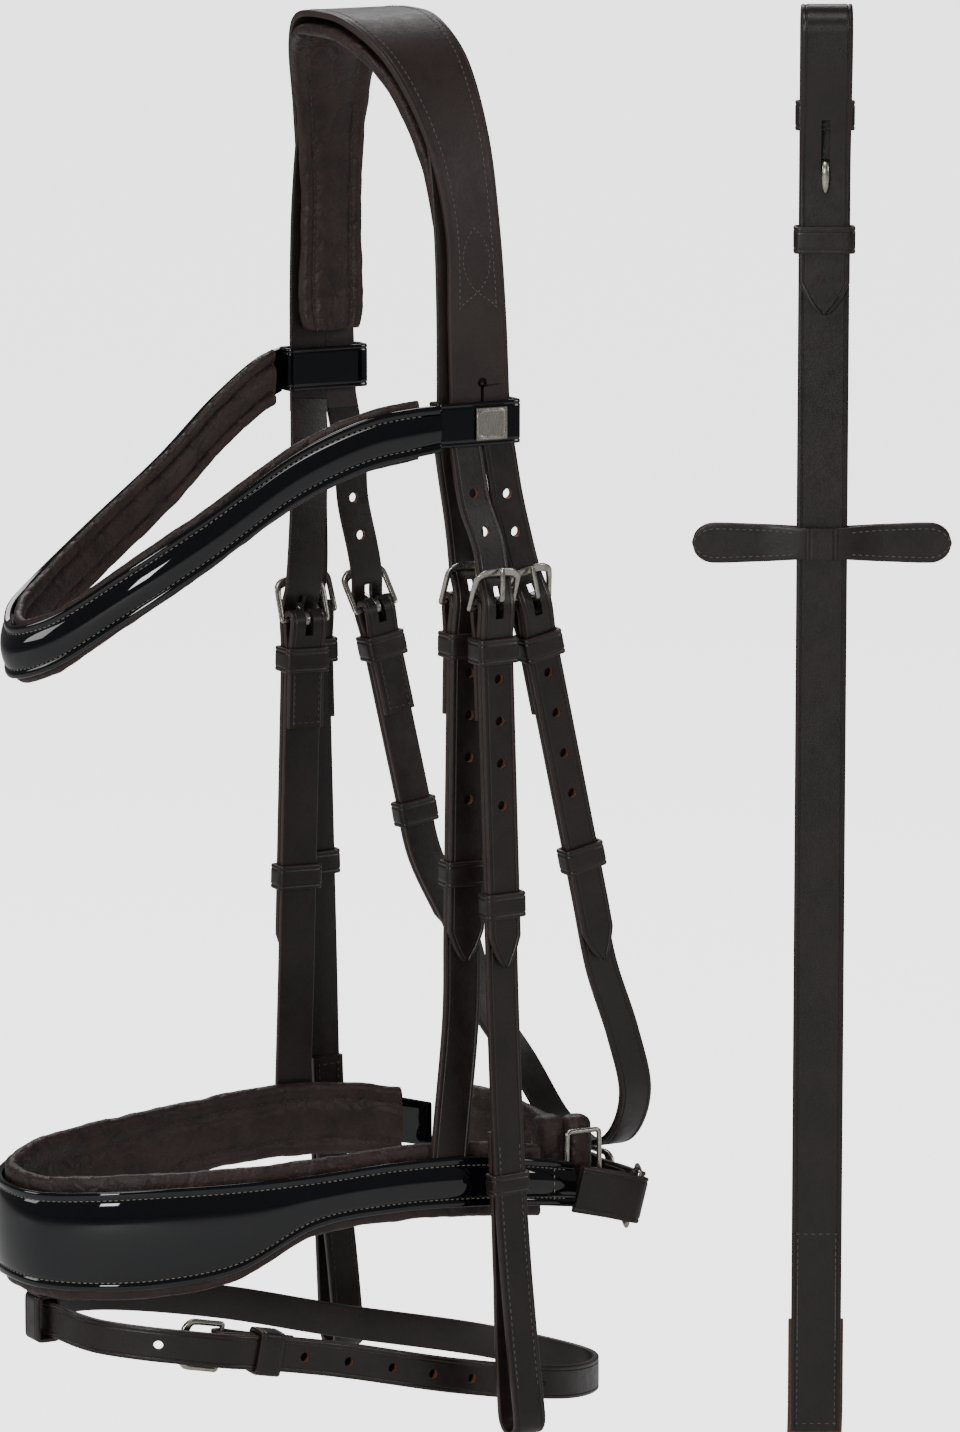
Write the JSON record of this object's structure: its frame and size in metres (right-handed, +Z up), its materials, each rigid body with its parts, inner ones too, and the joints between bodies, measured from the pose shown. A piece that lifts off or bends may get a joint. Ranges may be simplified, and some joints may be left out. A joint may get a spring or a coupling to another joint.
{
  "type": "snaffle bridle",
  "caption": "Snaffle bridle: padded headpiece, wave browband, buckled cheeks, padded noseband with chin closure and flash strap, throatlatch and one rein.",
  "frame": {"origin": "middle of the flat under the headpiece padding, where it rests on the poll", "axes": "+X to the near (left) side, +Y to the back of the head, +Z up"},
  "size_m": [0.2315, 0.3291, 0.628],
  "materials": {
    "leather": "dark havana bridle leather, satin",
    "lining": "soft dark brown padded leather, matt",
    "patent": "black patent, high gloss",
    "steel": "antiqued nickel, satin",
    "webbing": "rusty brown rubbed webbing"
  },
  "bodies": {
    "crown": {"headpiece": "leather", "sliphead": "leather", "headpiece_padding": "lining", "browband": "patent", "browband_lining": "lining", "browband_plate": "steel"},
    "near_cheek": {"near_cheek_billet": "leather", "near_cheek_buckle": "steel", "near_cheekpiece": "leather"},
    "off_cheek": {"off_cheek_billet": "leather", "off_cheek_buckle": "steel", "off_cheekpiece": "leather"},
    "nose": {"near_hanger_billet": "leather", "near_hanger_buckle": "steel", "near_hanger": "leather", "off_hanger_billet": "leather", "off_hanger_buckle": "steel", "off_hanger": "leather", "noseband": "patent", "noseband_lining": "lining", "crank_tab": "leather", "crank_ring": "steel", "crank_billet": "leather", "crank_buckle": "steel", "crank_strap": "leather", "chin_pad": "lining", "chin_ring": "steel", "flash_loop": "leather"},
    "throat": {"near_throat_billet": "leather", "near_throat_buckle": "steel", "off_throat_billet": "leather", "off_throat_buckle": "steel", "throatlatch": "leather"},
    "flash": {"flash_strap": "leather", "flash_buckle": "steel"},
    "rein": {"rein_strap": "leather", "rein_stud": "steel", "rein_upper_keeper": "leather", "rein_web": "webbing", "rein_roll": "webbing", "rein_tie": "leather"},
    "near_cheek_tongue": {"near_cheek_tongue": "steel"},
    "near_cheek_keeper": {"near_cheek_keeper": "leather"},
    "off_cheek_tongue": {"off_cheek_tongue": "steel"},
    "off_cheek_keeper": {"off_cheek_keeper": "leather"},
    "near_hanger_tongue": {"near_hanger_tongue": "steel"},
    "near_hanger_keeper": {"near_hanger_keeper": "leather"},
    "off_hanger_tongue": {"off_hanger_tongue": "steel"},
    "off_hanger_keeper": {"off_hanger_keeper": "leather"},
    "near_throat_tongue": {"near_throat_tongue": "steel"},
    "near_throat_keeper": {"near_throat_keeper": "leather"},
    "off_throat_tongue": {"off_throat_tongue": "steel"},
    "off_throat_keeper": {"off_throat_keeper": "leather"},
    "crank_tongue": {"crank_tongue": "steel"},
    "crank_keeper": {"crank_keeper": "leather"},
    "flash_tongue": {"flash_tongue": "steel"},
    "flash_keeper": {"flash_keeper": "leather"},
    "rein_lower_keeper": {"rein_lower_keeper": "leather"},
    "rein_stop": {"rein_stop": "leather"}
  },
  "joints": [
    {"name": "near_cheek_swing", "type": "hinge", "parent": "crown", "child": "near_cheek", "pos_m": [0.0675, 0, -0.1506], "axis": [0, -1, 0], "range_deg": [0, 25]},
    {"name": "off_cheek_swing", "type": "hinge", "parent": "crown", "child": "off_cheek", "pos_m": [-0.0675, 0.0035, -0.1506], "axis": [0, 1, 0], "range_deg": [0, 25]},
    {"name": "noseband_swing", "type": "hinge", "parent": "crown", "child": "nose", "pos_m": [0, -0.004, -0.1508], "axis": [-1, 0, 0], "range_deg": [0, 12]},
    {"name": "throatlatch_swing", "type": "hinge", "parent": "crown", "child": "throat", "pos_m": [0, 0.0185, -0.1506], "axis": [1, 0, 0], "range_deg": [0, 14]},
    {"name": "flash_lift", "type": "hinge", "parent": "nose", "child": "flash", "pos_m": [0, -0.147, -0.477], "axis": [1, 0, 0], "range_deg": [0, 4]},
    {"name": "rein_swing", "type": "hinge", "parent": "crown", "child": "rein", "pos_m": [0.116, 0.122, 0.013], "axis": [0.4695, 0.8829, 0], "range_deg": [-5, 5]},
    {"name": "near_cheek_tongue_turn", "type": "hinge", "parent": "near_cheek", "child": "near_cheek_tongue", "pos_m": [0.07297, 0.00464, -0.208], "axis": [0, 1, -0.0005], "range_deg": [0, 30]},
    {"name": "near_cheek_keeper_slide", "type": "slide", "parent": "near_cheek", "child": "near_cheek_keeper", "axis": [-0.0073, -0.0274, 0.9996], "range_m": [-0.012, 0.03]},
    {"name": "off_cheek_tongue_turn", "type": "hinge", "parent": "off_cheek", "child": "off_cheek_tongue", "pos_m": [-0.07302, 0.0051, -0.23], "axis": [-0.0002, -0.9996, -0.0274], "range_deg": [0, 30]},
    {"name": "off_cheek_keeper_slide", "type": "slide", "parent": "off_cheek", "child": "off_cheek_keeper", "axis": [0.0073, -0.0274, 0.9996], "range_m": [-0.012, 0.03]},
    {"name": "near_hanger_tongue_turn", "type": "hinge", "parent": "nose", "child": "near_hanger_tongue", "pos_m": [0.0559, 0.00265, -0.208], "axis": [0.0021, 0.9984, -0.0572], "range_deg": [0, 12]},
    {"name": "near_hanger_keeper_slide", "type": "slide", "parent": "nose", "child": "near_hanger_keeper", "axis": [-0.0028, 0.0156, 0.9999], "range_m": [-0.012, 0.03]},
    {"name": "off_hanger_tongue_turn", "type": "hinge", "parent": "nose", "child": "off_hanger_tongue", "pos_m": [-0.05604, -0.00758, -0.23], "axis": [0.0003, -0.9998, 0.0176], "range_deg": [0, 12]},
    {"name": "off_hanger_keeper_slide", "type": "slide", "parent": "nose", "child": "off_hanger_keeper", "axis": [0.0032, 0.0255, 0.9997], "range_m": [-0.012, 0.03]},
    {"name": "near_throat_tongue_turn", "type": "hinge", "parent": "throat", "child": "near_throat_tongue", "pos_m": [0.06672, 0.02407, -0.209], "axis": [0.0026, 0.9761, 0.2172], "range_deg": [0, 30]},
    {"name": "near_throat_keeper_slide", "type": "slide", "parent": "throat", "child": "near_throat_keeper", "axis": [0.012, -0.2191, 0.9756], "range_m": [-0.012, 0.03]},
    {"name": "off_throat_tongue_turn", "type": "hinge", "parent": "throat", "child": "off_throat_tongue", "pos_m": [-0.06394, 0.02719, -0.2288], "axis": [0.0135, -0.9819, -0.1891], "range_deg": [0, 30]},
    {"name": "off_throat_keeper_slide", "type": "slide", "parent": "throat", "child": "off_throat_keeper", "axis": [-0.0545, -0.1536, 0.9866], "range_m": [-0.005, 0.006]},
    {"name": "crank_tongue_turn", "type": "hinge", "parent": "nose", "child": "crank_tongue", "pos_m": [-0.01731, 0.08889, -0.45077], "axis": [0.017, 0.2723, 0.9621], "range_deg": [0, 25]},
    {"name": "crank_keeper_slide", "type": "slide", "parent": "nose", "child": "crank_keeper", "axis": [0.8329, 0.5004, -0.2363], "range_m": [-0.002, 0.002]},
    {"name": "flash_tongue_turn", "type": "hinge", "parent": "flash", "child": "flash_tongue", "pos_m": [0.04593, -0.09623, -0.48484], "axis": [0.0312, 0.1675, 0.9854], "range_deg": [0, 1.2]},
    {"name": "flash_keeper_slide", "type": "slide", "parent": "flash", "child": "flash_keeper", "axis": [-0.0387, -0.9813, 0.1886], "range_m": [-0.002, 0.0005]},
    {"name": "rein_keeper_slide", "type": "slide", "parent": "rein", "child": "rein_lower_keeper", "axis": [0, 0, 1], "range_m": [-0.012, 0.01]},
    {"name": "rein_stop_slide", "type": "slide", "parent": "rein", "child": "rein_stop", "axis": [0, 0, 1], "range_m": [-0.04, 0.04]}
  ]
}
